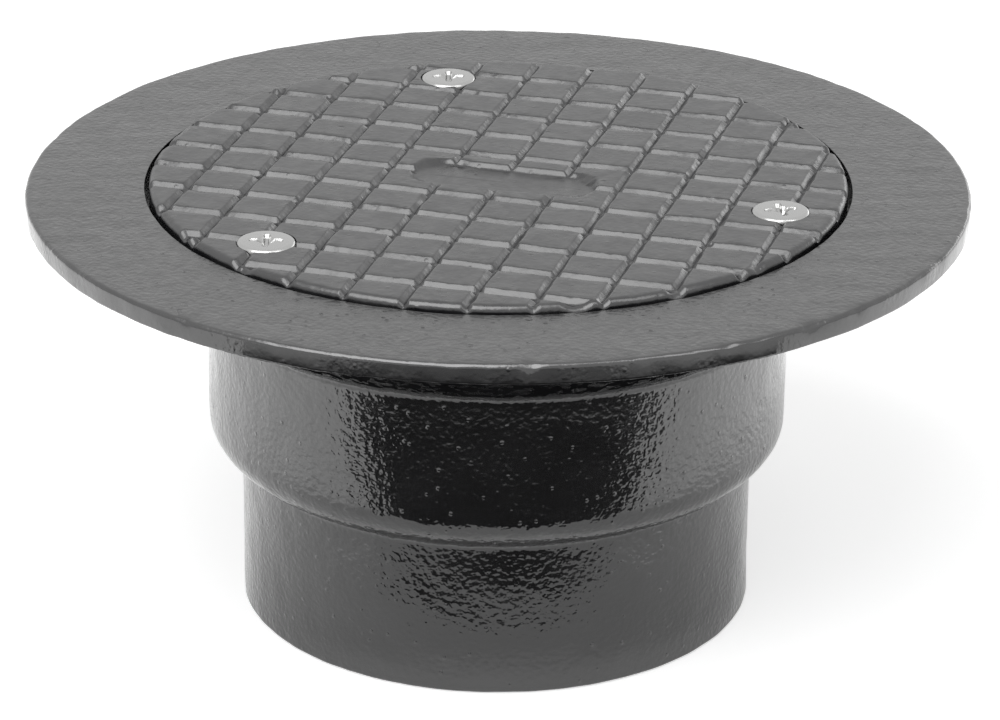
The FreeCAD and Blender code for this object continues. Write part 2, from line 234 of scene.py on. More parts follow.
def coated_iron(name, film_index, gloss_low, gloss_high, scuff, peel_depth, dark, pale):
    """Black bituminous enamel dipped on sand-cast iron.

    A glossy dielectric film: it follows the sand's grain as an orange peel about a millimetre across, with
    slow swells, stray pimples over grit and pinholes where gas came out. It lies smoother, in patches, on the
    fettled rim. Beyond the neck, where it faces down under the funnel and the flange, its shine is turned
    down as a painted shade, with a few specks left shining. Dust dulls it in clouds and settles on level
    parts, and handling scuffs it where it faces up.
    """
    peel_size, speck_size, grit_gap = 1.15 * mm, 2.4 * mm, 3.2 * mm
    swell_size, cloud_size, gas_gap = 6 * mm, 11 * mm, 13 * mm
    swell_depth, pinhole_depth = 0.08 * mm, 0.15 * mm
    pimple_depth = 0.7 * peel_depth
    full_shine = 0.5
    material, tree = new_material(name)
    spot = add(tree, "ShaderNodeTexCoord")
    place = spot.outputs["Object"]
    facing = add(tree, "ShaderNodeSeparateXYZ", {"Vector": spot.outputs["Normal"]})
    level_place = add(tree, "ShaderNodeVectorMath", {0: place, 1: (1, 1, 0)}, operation="MULTIPLY")
    off_axis = add(tree, "ShaderNodeVectorMath", {0: level_place.outputs["Vector"]}, operation="LENGTH")

    # Grain of the film
    peel = add(tree, "ShaderNodeTexNoise", {"Vector": place, "Scale": 1 / peel_size, "Detail": 1.0,
                                            "Roughness": 0.4})
    swell = add(tree, "ShaderNodeTexNoise", {"Vector": place, "Scale": 1 / swell_size, "Detail": 2.0})
    grit = add(tree, "ShaderNodeTexVoronoi", {"Vector": place, "Scale": 1 / grit_gap})
    pimple = add(tree, "ShaderNodeMapRange", {"Value": grit.outputs["Distance"], "From Min": 0.03,
                                              "From Max": 0.19, "To Min": 1.0, "To Max": 0.0},
                 interpolation_type="SMOOTHSTEP")
    gas = add(tree, "ShaderNodeTexVoronoi", {"Vector": place, "Scale": 1 / gas_gap})
    pinhole = add(tree, "ShaderNodeMapRange", {"Value": gas.outputs["Distance"], "From Min": 0.02,
                                               "From Max": 0.07}, interpolation_type="SMOOTHSTEP")
    cloud = add(tree, "ShaderNodeTexNoise", {"Vector": place, "Scale": 1 / cloud_size, "Detail": 5.0})
    patch = add(tree, "ShaderNodeMapRange", {"Value": cloud.outputs["Fac"], "From Min": 0.48, "From Max": 0.6,
                                             "To Min": 0.2, "To Max": 0.8})
    fettled = add(tree, "ShaderNodeMapRange", {"Value": off_axis.outputs["Value"],
                                               "From Min": flange_radius - 2 * mm,
                                               "From Max": flange_radius - 1 * mm, "To Min": 1.0,
                                               "To Max": patch.outputs["Result"]})
    normal = None
    for height, depth in ((swell.outputs["Fac"], swell_depth), (peel.outputs["Fac"], peel_depth),
                          (pimple.outputs["Result"], pimple_depth),
                          (pinhole.outputs["Result"], pinhole_depth)):
        inputs = {"Height": height, "Distance": depth, "Strength": fettled.outputs["Result"]}
        if normal:
            inputs["Normal"] = normal
        normal = add(tree, "ShaderNodeBump", inputs).outputs["Normal"]

    # Gloss, scuffed where it faces up, and shine turned down under the funnel as a painted shade
    film = add(tree, "ShaderNodeMapRange", {"Value": cloud.outputs["Fac"], "From Min": 0.3, "From Max": 0.7,
                                            "To Min": gloss_low, "To Max": gloss_high})
    worn = add(tree, "ShaderNodeMapRange", {"Value": facing.outputs["Z"], "From Min": 0.2, "From Max": 0.6,
                                            "To Max": scuff})
    gloss = add(tree, "ShaderNodeMath", {0: film.outputs["Result"], 1: worn.outputs["Result"]},
                operation="ADD")
    specks = add(tree, "ShaderNodeTexNoise", {"Vector": place, "Scale": 1 / speck_size, "Detail": 4.0})
    sparkle = add(tree, "ShaderNodeMapRange", {"Value": specks.outputs["Fac"], "From Min": 0.52,
                                               "From Max": 0.72, "To Max": 0.3})
    # Painted shade: beyond the neck the shine drops to a few specks on faces that look down
    painted_underside_shade = add(tree, "ShaderNodeMapRange", {"Value": facing.outputs["Z"], "From Min": -0.65,
                                             "From Max": -0.45, "To Min": sparkle.outputs["Result"],
                                             "To Max": full_shine})
    shine_with_painted_shade = add(tree, "ShaderNodeMapRange", {"Value": off_axis.outputs["Value"],
                                             "From Min": neck_radius + 0.5 * mm,
                                             "From Max": neck_radius + 2 * mm, "To Min": full_shine,
                                             "To Max": painted_underside_shade.outputs["Result"]})

    # Colour, with dust on level parts
    tone = add(tree, "ShaderNodeValToRGB", {"Fac": cloud.outputs["Fac"]})
    for stop, position, colour in zip(tone.color_ramp.elements, (0.35, 0.75), (dark, pale)):
        stop.position = position
        stop.color = linear(colour)
    settled = add(tree, "ShaderNodeMapRange", {"Value": facing.outputs["Z"], "From Min": 0.85,
                                               "From Max": 0.99})
    dust = add(tree, "ShaderNodeMapRange", {"Value": specks.outputs["Fac"], "From Min": 0.4, "From Max": 0.75,
                                            "To Max": settled.outputs["Result"]})
    dusty = add(tree, "ShaderNodeMix", {"Factor": dust.outputs["Result"], 6: tone.outputs["Color"],
                                        7: linear("#3A3A3A")}, data_type="RGBA")
    coat = add(tree, "ShaderNodeBsdfPrincipled", {"Base Color": dusty.outputs[2], "IOR": film_index,
                                                  "Specular IOR Level": shine_with_painted_shade.outputs["Result"],
                                                  "Roughness": gloss.outputs["Value"], "Normal": normal})
    add(tree, "ShaderNodeOutputMaterial", {"Surface": coat.outputs["BSDF"]})
    return material


def shoulder_path(large_points=14, small_points=7):
    """Shoulder between neck and spigot: a convex arc that starts upright at the neck, then a concave one.

    The small arc's centre is its radius off the spigot, and both radii from the large arc's centre.
    """
    centre_out = neck_radius - shoulder_radius
    centre_up = spigot_length + math.sqrt(shoulder_radius ** 2 - (spigot_radius - centre_out) ** 2)
    across_gap = spigot_radius + shoulder_fillet - centre_out
    drop = math.sqrt((shoulder_radius + shoulder_fillet) ** 2 - across_gap ** 2)
    meet = math.atan2(drop, across_gap)
    large = np.linspace(0, meet, large_points)
    small = np.linspace(math.pi - meet, math.pi, small_points)[1:]
    return np.concatenate([
        np.stack([centre_out + shoulder_radius * np.cos(large),
                  centre_up - shoulder_radius * np.sin(large)], axis=1),
        np.stack([spigot_radius + shoulder_fillet + shoulder_fillet * np.cos(small),
                  centre_up - drop + shoulder_fillet * np.sin(small)], axis=1),
    ])


# Outside, from the recess's wall over the flange and down to the spigot's end
turns = screw_turn - math.pi / 3 + np.arange(around) * 2 * math.pi / around
shoulder = shoulder_path()
outside = np.concatenate([
    rounded_path([
        (recess_radius, seat_height, 0),
        (recess_radius, flange_top, recess_round),
        (flange_radius, flange_top, rim_top_round),
        (flange_radius, rim_under, rim_under_round),
        (funnel_radius, web_under, web_round),
        (neck_radius, neck_top, neck_round),
        (neck_radius, shoulder[0][1], 0),
    ], skin_step)[:-1],
    shoulder[:-1],
    rounded_path([
        (spigot_radius, shoulder[-1][1], 0),
        (spigot_radius, 0, spigot_round),
        (throat_radius, 0, 0),
    ], skin_step),
])
skin = turned(outside, turns)
normals = turned_normals(outside, turns)

# Unevenness that fades out towards the seams at both ends
fade_run = 8 * mm
run = np.concatenate([[0], np.cumsum(np.linalg.norm(np.diff(outside, axis=0), axis=1))])
fade = np.clip(np.minimum(run, run[-1] - run) / fade_run, 0, 1)[:, None]
bumps = cast_skin(skin, depth=0.05 * mm, shortest=5 * mm, longest=40 * mm, waves=28, seed=3)
skin = skin + normals * ((bumps - bumps.max()) * fade)[..., None]

# Ragged upper edge of the rim: rough spots by turn and spread in degrees, chips by turn, width and depth
edge_inset = 0.4 * mm
edge_reach = 0.9 * mm
edge_wear = 0.3
edge_start = 0.05 * mm
edge_most = 0.5 * mm
rough_spots = ((-39, 25), (-104, 15))
chips = ((-70.6, 1.1 * mm, 0.7 * mm), (-36.4, 1.6 * mm, 0.8 * mm), (-112.0, 1.3 * mm, 0.5 * mm))
off_edge = np.hypot(outside[:, 0] - flange_radius + edge_inset, outside[:, 1] - flange_top + edge_inset)
on_edge = np.exp(-(off_edge / edge_reach) ** 2)[:, None]
broken = edge_wear + sum(np.exp(-((turns - math.radians(middle)) / math.radians(spread)) ** 2)
                         for middle, spread in rough_spots)
rough = cast_skin(skin, depth=0.2 * mm, shortest=2.5 * mm, longest=11 * mm, waves=30, seed=21)
ragged_edge = np.clip(broken * rough - edge_start, 0, edge_most)
for chip_turn, chip_width, chip_depth in chips:
    off_chip = flange_radius * np.abs((turns - math.radians(chip_turn) + math.pi) % (2 * math.pi) - math.pi)
    ragged_edge = np.maximum(ragged_edge, chip_depth * np.exp(-(off_chip / chip_width) ** 2))
skin = skin - normals * (ragged_edge * on_edge)[..., None]

# Inside, from the throat up through the tapped ledge and the well to the seat
inside = np.concatenate([
    rounded_path([(throat_radius, 0, 0), (throat_radius, tapped_end - thread_lead, 0)], throat_step)[:-1],
    rounded_path([(throat_radius, tapped_end - thread_lead, 0), (tapped_radius, tapped_end, 0),
                  (tapped_radius, ledge_height, 0)], thread_step)[:-1],
    rounded_path([(tapped_radius, ledge_height, 0), (well_radius, ledge_height, ledge_round),
                  (well_radius, seat_height, 0)], well_step),
])
well = turned(inside, turns)
in_thread = (np.abs(inside[:, 0] - tapped_radius) < touch) & (inside[:, 1] < ledge_height - thread_stop)
crest = ridge(well[..., 2], turns, thread_pitch) * in_thread[:, None] * thread_height
well[..., :2] *= (1 - crest / tapped_radius)[..., None]


def seat_sector(axis_turn):
    """Part of the seat round one tapped hole, and the hole.

    Unrolled to (angle, radius), each point of the sector's outline is joined to the hole's rim by a straight
    run whose steps grow with the power 1.5. The hole's wall goes down in two steps, and then in to its axis.
    """
    third = around // 3
    sweep = np.linspace(-math.pi / 3, math.pi / 3, third + 1)
    rise = np.linspace(well_radius, recess_radius, seat_steps + 1)
    outline = np.concatenate([
        np.stack([sweep[:-1], np.full(third, well_radius)], axis=1),
        np.stack([np.full(seat_steps, math.pi / 3), rise[:-1]], axis=1),
        np.stack([sweep[:0:-1], np.full(third, recess_radius)], axis=1),
        np.stack([np.full(seat_steps, -math.pi / 3), rise[:0:-1]], axis=1),
    ])
    heading = np.arctan2(outline[:, 1] - screw_circle, outline[:, 0] * screw_circle)
    rim_x = screw_circle + screw_hole * np.sin(heading)
    rim_y = screw_hole * np.cos(heading)
    rim = np.stack([np.arctan2(rim_y, rim_x), np.hypot(rim_x, rim_y)], axis=1)
    share = np.linspace(0, 1, seat_steps + 1)[:, None, None] ** 1.5
    flat = rim + (outline - rim) * share
    angle = flat[..., 0] + axis_turn
    sheet = np.stack([flat[..., 1] * np.cos(angle), flat[..., 1] * np.sin(angle),
                      np.full(angle.shape, seat_height)], axis=-1)
    drop = np.array([0, 0.5, 1.0, 1.0])[:, None, None] * (seat_height - hole_end)
    wall = sheet[:1] - drop * np.array([0, 0, 1])
    wall[-1, :, :2] = screw_circle * np.array([math.cos(axis_turn), math.sin(axis_turn)])
    return [(sheet, True), (wall, True)]


seat = sum((seat_sector(screw_turn + number * 2 * math.pi / 3) for number in range(3)), [])
casting = sew("body_casting", [(skin, True), (well, True)] + seat)
iron_coat = coated_iron("black_coating_on_cast_iron", film_index=2.0, gloss_low=0.09, gloss_high=0.16,
                        scuff=0.13, peel_depth=0.16 * mm, dark="#121213", pale="#1C1C1D")
casting.data.materials.append(iron_coat)
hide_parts("casting")
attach(casting, "casting")


# Plug seal
# A flat ring of black rubber, cut from sheet and stretched over the plug's thread up to its rim. The plug
# presses it on the ledge inside the neck.
seal_inner = tapped_radius
seal_outer = seal_high.x
seal_middle = (seal_low.z + seal_high.z) / 2
seal_edge = 0.4 * mm
seal_step = 2 * mm
seal_path = rounded_path([
    (seal_inner, seal_middle, 0),
    (seal_inner, seal_high.z, seal_edge),
    (seal_outer, seal_high.z, seal_edge),
    (seal_outer, seal_low.z, seal_edge),
    (seal_inner, seal_low.z, seal_edge),
    (seal_inner, seal_middle, 0),
], seal_step)
seal = sew("plug_seal_ring", [(turned(seal_path, turns), True)])


def seal_rubber():
    """Moulded rubber: dull black with a faint bloom and a fine grain."""
    bloom_size, grain_size, grain_depth = 6 * mm, 0.5 * mm, 0.02 * mm
    material, tree = new_material("black_sheet_rubber")
    place = add(tree, "ShaderNodeTexCoord").outputs["Object"]
    bloom = add(tree, "ShaderNodeTexNoise", {"Vector": place, "Scale": 1 / bloom_size, "Detail": 4.0})
    tone = add(tree, "ShaderNodeMix", {"Factor": bloom.outputs["Fac"], 6: linear("#141414"),
                                       7: linear("#262625")}, data_type="RGBA")
    grain = add(tree, "ShaderNodeTexNoise", {"Vector": place, "Scale": 1 / grain_size})
    bump = add(tree, "ShaderNodeBump", {"Height": grain.outputs["Fac"], "Distance": grain_depth})
    rubber = add(tree, "ShaderNodeBsdfPrincipled", {"Base Color": tone.outputs[2], "Roughness": 0.75,
                                                    "IOR": 1.52, "Normal": bump.outputs["Normal"]})
    add(tree, "ShaderNodeOutputMaterial", {"Surface": rubber.outputs["BSDF"]})
    return material


seal.data.materials.append(seal_rubber())
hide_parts("plug_seal")
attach(seal, "plug_seal")


# Screw plug
# A hollow plug moulded in black plastic: a threaded cup under a round rim, with a square lug for the wrench.
# It screws into the ledge inside the neck, and the seal is caught under its rim.
plug_low, plug_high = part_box("plug")
plug_rim_radius = plug_high.x
plug_rim_under = seal_high.z
plug_rim_top = plug_rim_under + 4.0 * mm
plug_rim_round = 1.0 * mm
plug_under_round = 0.4 * mm
plug_thread = tapped_radius - 0.3 * mm
plug_lead = 0.8 * mm
plug_wall = 5.0 * mm
cup_radius = plug_thread - plug_wall
cup_top = plug_rim_top - plug_wall
cup_round = 3 * mm
lug_half = 14.3 * mm
lug_foot = 1.35 * lug_half
lug_blend = 0.3 * lug_half
lug_draft = 0.4 * mm
lug_round = 1.5 * mm
lug_power = 9
cup_step = 4 * mm
rim_step = 3 * mm
lug_step = 2.5 * mm
plug_path = np.concatenate([
    rounded_path([(0, cup_top, 0), (cup_radius, cup_top, cup_round), (cup_radius, plug_low.z, plug_lead),
                  (plug_thread - plug_lead, plug_low.z, 0), (plug_thread, plug_low.z + plug_lead, 0)],
                 cup_step)[:-1],
    rounded_path([(plug_thread, plug_low.z + plug_lead, 0), (plug_thread, ledge_height, 0)],
                 thread_step)[:-1],
    rounded_path([(plug_thread, ledge_height, 0), (plug_thread, plug_rim_under, 0),
                  (plug_rim_radius, plug_rim_under, plug_under_round),
                  (plug_rim_radius, plug_rim_top, plug_rim_round), (lug_foot, plug_rim_top, 0)], rim_step),
])

# Thread, cut where the ridge of the ledge's thread stands
plug_body = turned(plug_path, turns)
in_thread = (np.abs(plug_path[:, 0] - plug_thread) < touch) & (plug_path[:, 1] < ledge_height)
root = ridge(plug_body[..., 2], turns, thread_pitch) * in_thread[:, None] * thread_height
plug_body[..., :2] *= (1 - root / plug_thread)[..., None]


def square_reach(angles, power):
    """Distance to the edge of a rounded square of half side 1, a superellipse, in each direction."""
    return (np.abs(np.cos(angles)) ** power + np.abs(np.sin(angles)) ** power) ** (-1 / power)


lug_path = rounded_path([(lug_foot, plug_rim_top, 0), (lug_half, plug_rim_top, lug_round),
                         (lug_half - lug_draft, plug_high.z, lug_round), (0, plug_high.z, 0)], lug_step)
lug = turned(lug_path, turns)
lug_square = np.clip((lug_foot - lug_path[:, :1]) / lug_blend, 0, 1)
lug[..., :2] *= (1 + (square_reach(turns, lug_power) - 1) * lug_square)[..., None]
plug = sew("screw_plug", [(plug_body, True), (lug, True)])


def moulded_plastic():
    """Injection-moulded black plastic: satin from a lightly etched mould, with faint flow marks."""
    flow_size, etch_size, etch_depth = 18 * mm, 0.45 * mm, 0.012 * mm
    material, tree = new_material("black_moulded_plastic")
    place = add(tree, "ShaderNodeTexCoord").outputs["Object"]
    flow = add(tree, "ShaderNodeTexNoise", {"Vector": place, "Scale": 1 / flow_size, "Detail": 3.0})
    tone = add(tree, "ShaderNodeMix", {"Factor": flow.outputs["Fac"], 6: linear("#26272A"),
                                       7: linear("#303136")}, data_type="RGBA")
    etch = add(tree, "ShaderNodeTexNoise", {"Vector": place, "Scale": 1 / etch_size, "Detail": 2.0})
    bump = add(tree, "ShaderNodeBump", {"Height": etch.outputs["Fac"], "Distance": etch_depth})
    plastic = add(tree, "ShaderNodeBsdfPrincipled", {"Base Color": tone.outputs[2], "Roughness": 0.42,
                                                     "IOR": 1.53, "Normal": bump.outputs["Normal"]})
    add(tree, "ShaderNodeOutputMaterial", {"Surface": plastic.outputs["BSDF"]})
    return material


plug.data.materials.append(moulded_plastic())
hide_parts("plug")
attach(plug, "plug")


# Scoriated cover
# A round iron casting that lies in the flange's recess on the seat. Its top has rows of square pads between
# tapered grooves, and a bare sunk panel at the middle; the same black coating covers it.
pad_top = cover_high.z
pad_pitch = 12.7 * mm
pad_shift = np.array([1.5, -1.75]) * mm
pad_half = np.array([5.2, 4.75]) * mm
wall_run = np.array([1.4, 1.25]) * mm
groove_depth = 1.25 * mm
panel_half_run = 13.4 * mm
panel_bend = 7.1 * mm
panel_wall = 1.2 * mm
head_radius = 6.2 * mm
head_height = 1.3 * mm
sinking_radius = head_radius + 0.15 * mm
sinking_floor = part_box(screw_names[0])[1].z - head_height
cover_round = 1.5 * mm
cover_under_bevel = 0.5 * mm
face_radius = cover_radius - cover_round

# Unevenness: each pad's lift and tilt, the room for them under the top, and the share that the grooves lose
pad_lift = 0.03 * mm
pad_tilt = 0.06 * mm
pads_drawn = 20
top_spare = 0.12 * mm
groove_calm = 0.6


def ramp(share, softness=0.07):
    """Smooth step from 0 to 1, straight with rounded ends: half the difference of two hyperbolas."""
    return 0.5 * (1 + np.hypot(share, softness) - np.hypot(share - 1, softness))


def off_pad(x, y, ragged):
    """Share of the groove's wall gone down outside the nearest pad: 0 on the pad, 1 at the wall's foot.

    Each way it is the distance past the pad's edge over the wall's run, and at a corner the root of both
    squared.
    """
    past = [np.maximum(np.abs((value - shift) % pad_pitch - pad_pitch / 2) - half + ragged, 0) / run
            for value, shift, half, run in zip((x, y), pad_shift, pad_half, wall_run)]
    return np.hypot(*past)


def pad_unevenness(x, y):
    """Each pad's own small height and tilt, drawn from its row and column."""
    across = (x - pad_shift[0]) / pad_pitch
    along = (y - pad_shift[1]) / pad_pitch
    column = np.floor(across).astype(int) + pads_drawn // 2
    row = np.floor(along).astype(int) + pads_drawn // 2
    dice = np.random.default_rng(11)
    lift, tilt_across, tilt_along = dice.normal(size=(3, pads_drawn, pads_drawn))[:, row, column]
    tilt = tilt_across * (across % 1 - 0.5) + tilt_along * (along % 1 - 0.5)
    return pad_lift * lift + pad_tilt * tilt


def cover_face(x, y):
    """Height of the cover's top: the pads, less the grooves round them and the sunk panel."""
    flat = np.stack([x, y, np.zeros_like(x)], axis=-1)
    ragged = cast_skin(flat, depth=0.09 * mm, shortest=2.5 * mm, longest=12 * mm, waves=24, seed=8)
    past_run = np.maximum(np.abs(x - pad_shift[0]) - panel_half_run, 0)
    off_panel = np.hypot(past_run, y - pad_shift[1]) - panel_bend
    sunk = np.maximum(ramp(off_pad(x, y, ragged)), ramp(0.5 - (off_panel + ragged) / panel_wall))
    grain = cast_skin(flat, depth=0.03 * mm, shortest=3 * mm, longest=25 * mm, waves=24, seed=5)
    uneven = (pad_unevenness(x, y) + grain) * (1 - groove_calm * sunk)
    return pad_top - top_spare - groove_depth * sunk + uneven


def plate_grid(x_lines, y_lines, radius, holes):
    """Grid of lines trimmed to a disc with round holes.

    Faces wholly outside the disc or inside a hole go, and the points left over the edge move radially to it.
    """
    x, y = (values.ravel() for values in np.meshgrid(x_lines, y_lines))
    faces = quads(len(y_lines), len(x_lines), 0, False)
    reach = np.hypot(x, y)
    keep = (reach[faces] < radius).any(axis=1)
    trim = np.where(reach > radius, radius / np.maximum(reach, 1e-9), 1)
    x, y = x * trim, y * trim
    for centre_x, centre_y, hole in holes:
        off = np.hypot(x - centre_x, y - centre_y)
        keep &= (off[faces] > hole).any(axis=1)
        push = np.where(off < hole, hole / np.maximum(off, 1e-9), 1)
        x, y = centre_x + (x - centre_x) * push, centre_y + (y - centre_y) * push
    used, faces = np.unique(faces[keep], return_inverse=True)
    return x[used], y[used], faces.reshape(-1, 4)


def open_edges(faces):
    """Edges that only one face has, each in that face's own direction."""
    edges = np.concatenate([faces[:, [0, 1]], faces[:, [1, 2]], faces[:, [2, 3]], faces[:, [3, 0]]])
    keys = np.sort(edges, axis=1)
    _, back, count = np.unique(keys, axis=0, return_inverse=True, return_counts=True)
    return edges[count[back.ravel()] == 1]


def hang_walls(points, faces, edges, levels):
    """Walls hung from edges: each level is a function that places a copy of the edge's points."""
    rim, ends = np.unique(edges, return_inverse=True)
    ends = ends.reshape(-1, 2)
    last = rim
    for placed in levels:
        ring = len(points) + np.arange(len(rim))
        points = np.concatenate([points, placed(points[rim])])
        faces = np.concatenate([faces, np.stack([last[ends[:, 1]], last[ends[:, 0]],
                                                 ring[ends[:, 0]], ring[ends[:, 1]]], axis=1)])
        last = ring
    return points, faces


def level(scale, height=None, drop=0.0, centre=(0, 0)):
    """Level of a wall: the rim's points scaled out from a centre, at one height or a drop below their own."""
    def placed(rim):
        flat = np.array(centre) + (rim[:, :2] - np.array(centre)) * scale
        return np.column_stack([flat, rim[:, 2] - drop if height is None else np.full(len(rim), height)])
    return placed


def round_levels(radius, bow, bends):
    """Levels of a quarter round on a disc's edge: out by the bend's sine and down by one less its cosine."""
    return [level(1 + bow * np.sin(bend) / radius, drop=bow * (1 - np.cos(bend)))
            for bend in np.radians(bends)]


def cap(piece):
    """Flat face over the piece's open loops, which lie at one height, with the loops inside as holes."""
    work = bmesh.new()
    work.from_mesh(piece.data)
    loops = [edge for edge in work.edges if edge.is_boundary]
    bmesh.ops.triangle_fill(work, edges=loops, use_beauty=True)
    bmesh.ops.recalc_face_normals(work, faces=work.faces)
    work.to_mesh(piece.data)
    work.free()


# Lines of the grid: close together at the grooves' edges, given from each groove's middle, and at the panel's
rows = np.arange(-7, 8)[:, None] * pad_pitch
half_lines = np.array([[0, 0.15, 0.35, 0.55, 0.75, 0.95, 1.1, 1.25, 1.55, 2.1, 3.3, 4.8],
                       [0, 0.2, 0.35, 0.5, 0.75, 1.0, 1.25, 1.45, 1.6, 1.8, 3.2, 4.8]]) * mm
panel_lines = np.arange(-0.75, 0.8, 0.25) * mm
panel_ends = (panel_half_run + panel_bend + panel_lines, panel_bend + panel_lines)
x_lines, y_lines = (np.unique(np.concatenate([(rows + np.concatenate([-half, half, [pad_pitch / 2]])).ravel(),
                                              ends, -ends]).round(9)) + shift
                    for half, ends, shift in zip(half_lines, panel_ends, pad_shift))
x, y, faces = plate_grid(x_lines, y_lines, face_radius, [(*axis, sinking_radius) for axis in screw_axes])
points = np.stack([x, y, cover_face(x, y)], axis=1)
edges = open_edges(faces)
at_rim = np.hypot(*points[edges[:, 0], :2].T) > face_radius - touch
points, faces = hang_walls(points, faces, edges[at_rim], [
    *round_levels(face_radius, cover_round, [15, 30, 45, 60, 75, 90]),
    level(cover_radius / face_radius, seat_height + cover_under_bevel),
    level((cover_radius - cover_under_bevel) / face_radius, seat_height),
])
for axis in screw_axes:
    near = np.hypot(*(points[edges[:, 0], :2] - axis).T) < sinking_radius + touch
    points, faces = hang_walls(points, faces, edges[near], [
        level(1, sinking_floor, centre=axis),
        level(screw_hole / sinking_radius, sinking_floor, centre=axis),
        level(screw_hole / sinking_radius, seat_height, centre=axis),
    ])
cover = finish_mesh("scoriated_cover", points, faces, sharp=50)
cap(cover)
cover_coat = coated_iron("black_coating_on_cover", film_index=1.85, gloss_low=0.2, gloss_high=0.3,
                         scuff=0.05, peel_depth=0.065 * mm, dark="#18181A", pale="#262627")
cover.data.materials.append(cover_coat)
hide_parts("cover")
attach(cover, "cover")


# Cover screws
# Three bright stainless machine screws with low round heads and cross recesses. They pass through the cover
# and hold it down by their threads in the seat.
head_round = 0.9 * mm
head_crown = 0.15 * mm
head_under_bevel = 0.15 * mm
head_step = 0.14 * mm
crown_radius = head_radius - head_round
drive_reach = 3.7 * mm
drive_width = 1.45 * mm
drive_depth = 1.6 * mm
drive_slope = 0.55
drive_side = 0.35 * mm
drive_end = 0.7 * mm
drive_core = 1.7 * mm
drive_core_depth = 1.15
drive_turns = np.radians([28.0, 17.0, 15.0])
shank_radius = 3.15 * mm
shank_length = 19.05 * mm
shank_tip = 0.8 * mm
shank_pitch = 1.27 * mm
shank_thread = 0.65 * mm
shank_run_out = 1 * mm
shank_step = 0.18 * mm
shank_around = 36


def head_top(x, y, turn):
    """Height of a screw's head over its seat: a shallow crown less a cross recess.

    Each arm of the cross slopes up to its end, and a cone at the middle goes deepest.
    """
    along = x * np.cos(turn) + y * np.sin(turn)
    aside = y * np.cos(turn) - x * np.sin(turn)
    reach = np.hypot(x, y)
    sunk = np.clip(drive_core_depth - reach / drive_core, 0, 1)
    for near, far in ((along, aside), (aside, along)):
        slope = np.clip(1 - drive_slope * np.abs(near) / drive_reach, 0, 1)
        sides = ramp((drive_width / 2 - np.abs(far)) / drive_side)
        ends = ramp((drive_reach - np.abs(near)) / drive_end)
        sunk = np.maximum(sunk, slope * sides * ends)
    return head_height - head_crown * (reach / head_radius) ** 2 - drive_depth * sunk


def bright_stainless():
    """Cold-headed stainless steel: bright metal, slightly hazed and nicked by handling."""
    haze_size, nick_depth = 1.6 * mm, 0.02 * mm
    material, tree = new_material("bright_stainless_steel")
    place = add(tree, "ShaderNodeTexCoord").outputs["Object"]
    haze = add(tree, "ShaderNodeTexNoise", {"Vector": place, "Scale": 1 / haze_size, "Detail": 4.0})
    gloss = add(tree, "ShaderNodeMapRange", {"Value": haze.outputs["Fac"], "To Min": 0.16, "To Max": 0.36})
    nick = add(tree, "ShaderNodeBump", {"Height": haze.outputs["Fac"], "Distance": nick_depth})
    steel = add(tree, "ShaderNodeBsdfPrincipled", {"Base Color": linear("#B9B9B8"), "Metallic": 1.0,
                                                   "Roughness": gloss.outputs["Result"],
                                                   "Normal": nick.outputs["Normal"]})
    add(tree, "ShaderNodeOutputMaterial", {"Surface": steel.outputs["BSDF"]})
    return material


steel_finish = bright_stainless()
head_lines = np.arange(-head_radius, head_radius + head_step / 2, head_step)
head_x, head_y, head_faces = plate_grid(head_lines, head_lines, crown_radius, [])
head_levels = [*round_levels(crown_radius, head_round, [18, 36, 54, 72, 90]),
               level(head_radius / crown_radius, head_under_bevel),
               level((head_radius - head_under_bevel) / crown_radius, 0)]
shank_turns = np.arange(shank_around) * 2 * math.pi / shank_around
shank_path = rounded_path([(shank_radius, 0, 0), (shank_radius, shank_tip - shank_length, 0),
                           (shank_radius - shank_tip, -shank_length, 0), (0, -shank_length, 0)], shank_step)
shank = turned(shank_path, shank_turns)
off_head, off_tip = -shank_path[:, 1], shank_path[:, 1] + shank_length
cut = np.clip(np.minimum(off_head / shank_run_out, off_tip / shank_tip), 0, 1)
depth = (1 - ridge(shank[..., 2], shank_turns, shank_pitch)) * cut[:, None] * shank_thread
shank[..., :2] *= (1 - depth / shank_radius)[..., None]
for name, axis, turn in zip(screw_names, screw_axes, drive_turns):
    points = np.stack([head_x, head_y, head_top(head_x, head_y, turn)], axis=1)
    points, faces = hang_walls(points, head_faces, open_edges(head_faces), head_levels)
    faces = np.concatenate([faces, quads(*shank.shape[:2], len(points), True)])
    points = np.concatenate([points, shank.reshape(-1, 3)]) + np.array([*axis, sinking_floor])
    screw = finish_mesh(name.replace("cover_screw", "cross_recess_screw"), points, faces, sharp=35)
    cap(screw)
    screw.data.materials.append(steel_finish)
    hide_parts(name)
    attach(screw, name)


# Camera
# It stands at the photograph's place: a long lens a metre off, a little above the flange and to the right of
# the cover's rows.
view_turn = math.radians(15.75)
view_rise = math.radians(22.94)
view_roll = math.radians(0.477)
view_distance = 981.0 * mm
view_aim = np.array([0.64 * mm, 0, flange_top - 42.31 * mm])
turn_about = np.array([[math.cos(view_turn), -math.sin(view_turn), 0],
                       [math.sin(view_turn), math.cos(view_turn), 0], [0, 0, 1]])
view_right = turn_about @ np.array([1, 0, 0])
view_front = turn_about @ np.array([0, -1, 0])


def axes_at(turn, rise):
    """Own axes, to the right, up and back, of a thing that faces the part from a turn and a rise."""
    back = np.array([math.sin(turn) * math.cos(rise), -math.cos(turn) * math.cos(rise), math.sin(rise)])
    right = np.array([math.cos(turn), math.sin(turn), 0])
    return right, np.cross(back, right), back


def stand(thing, right, up, back, place):
    """Places a camera or a lamp with its own axes to the right, up and back."""
    pose = np.eye(4)
    pose[:3] = np.stack([right, up, back, place], axis=1)
    thing.matrix_world = Matrix(pose.tolist())


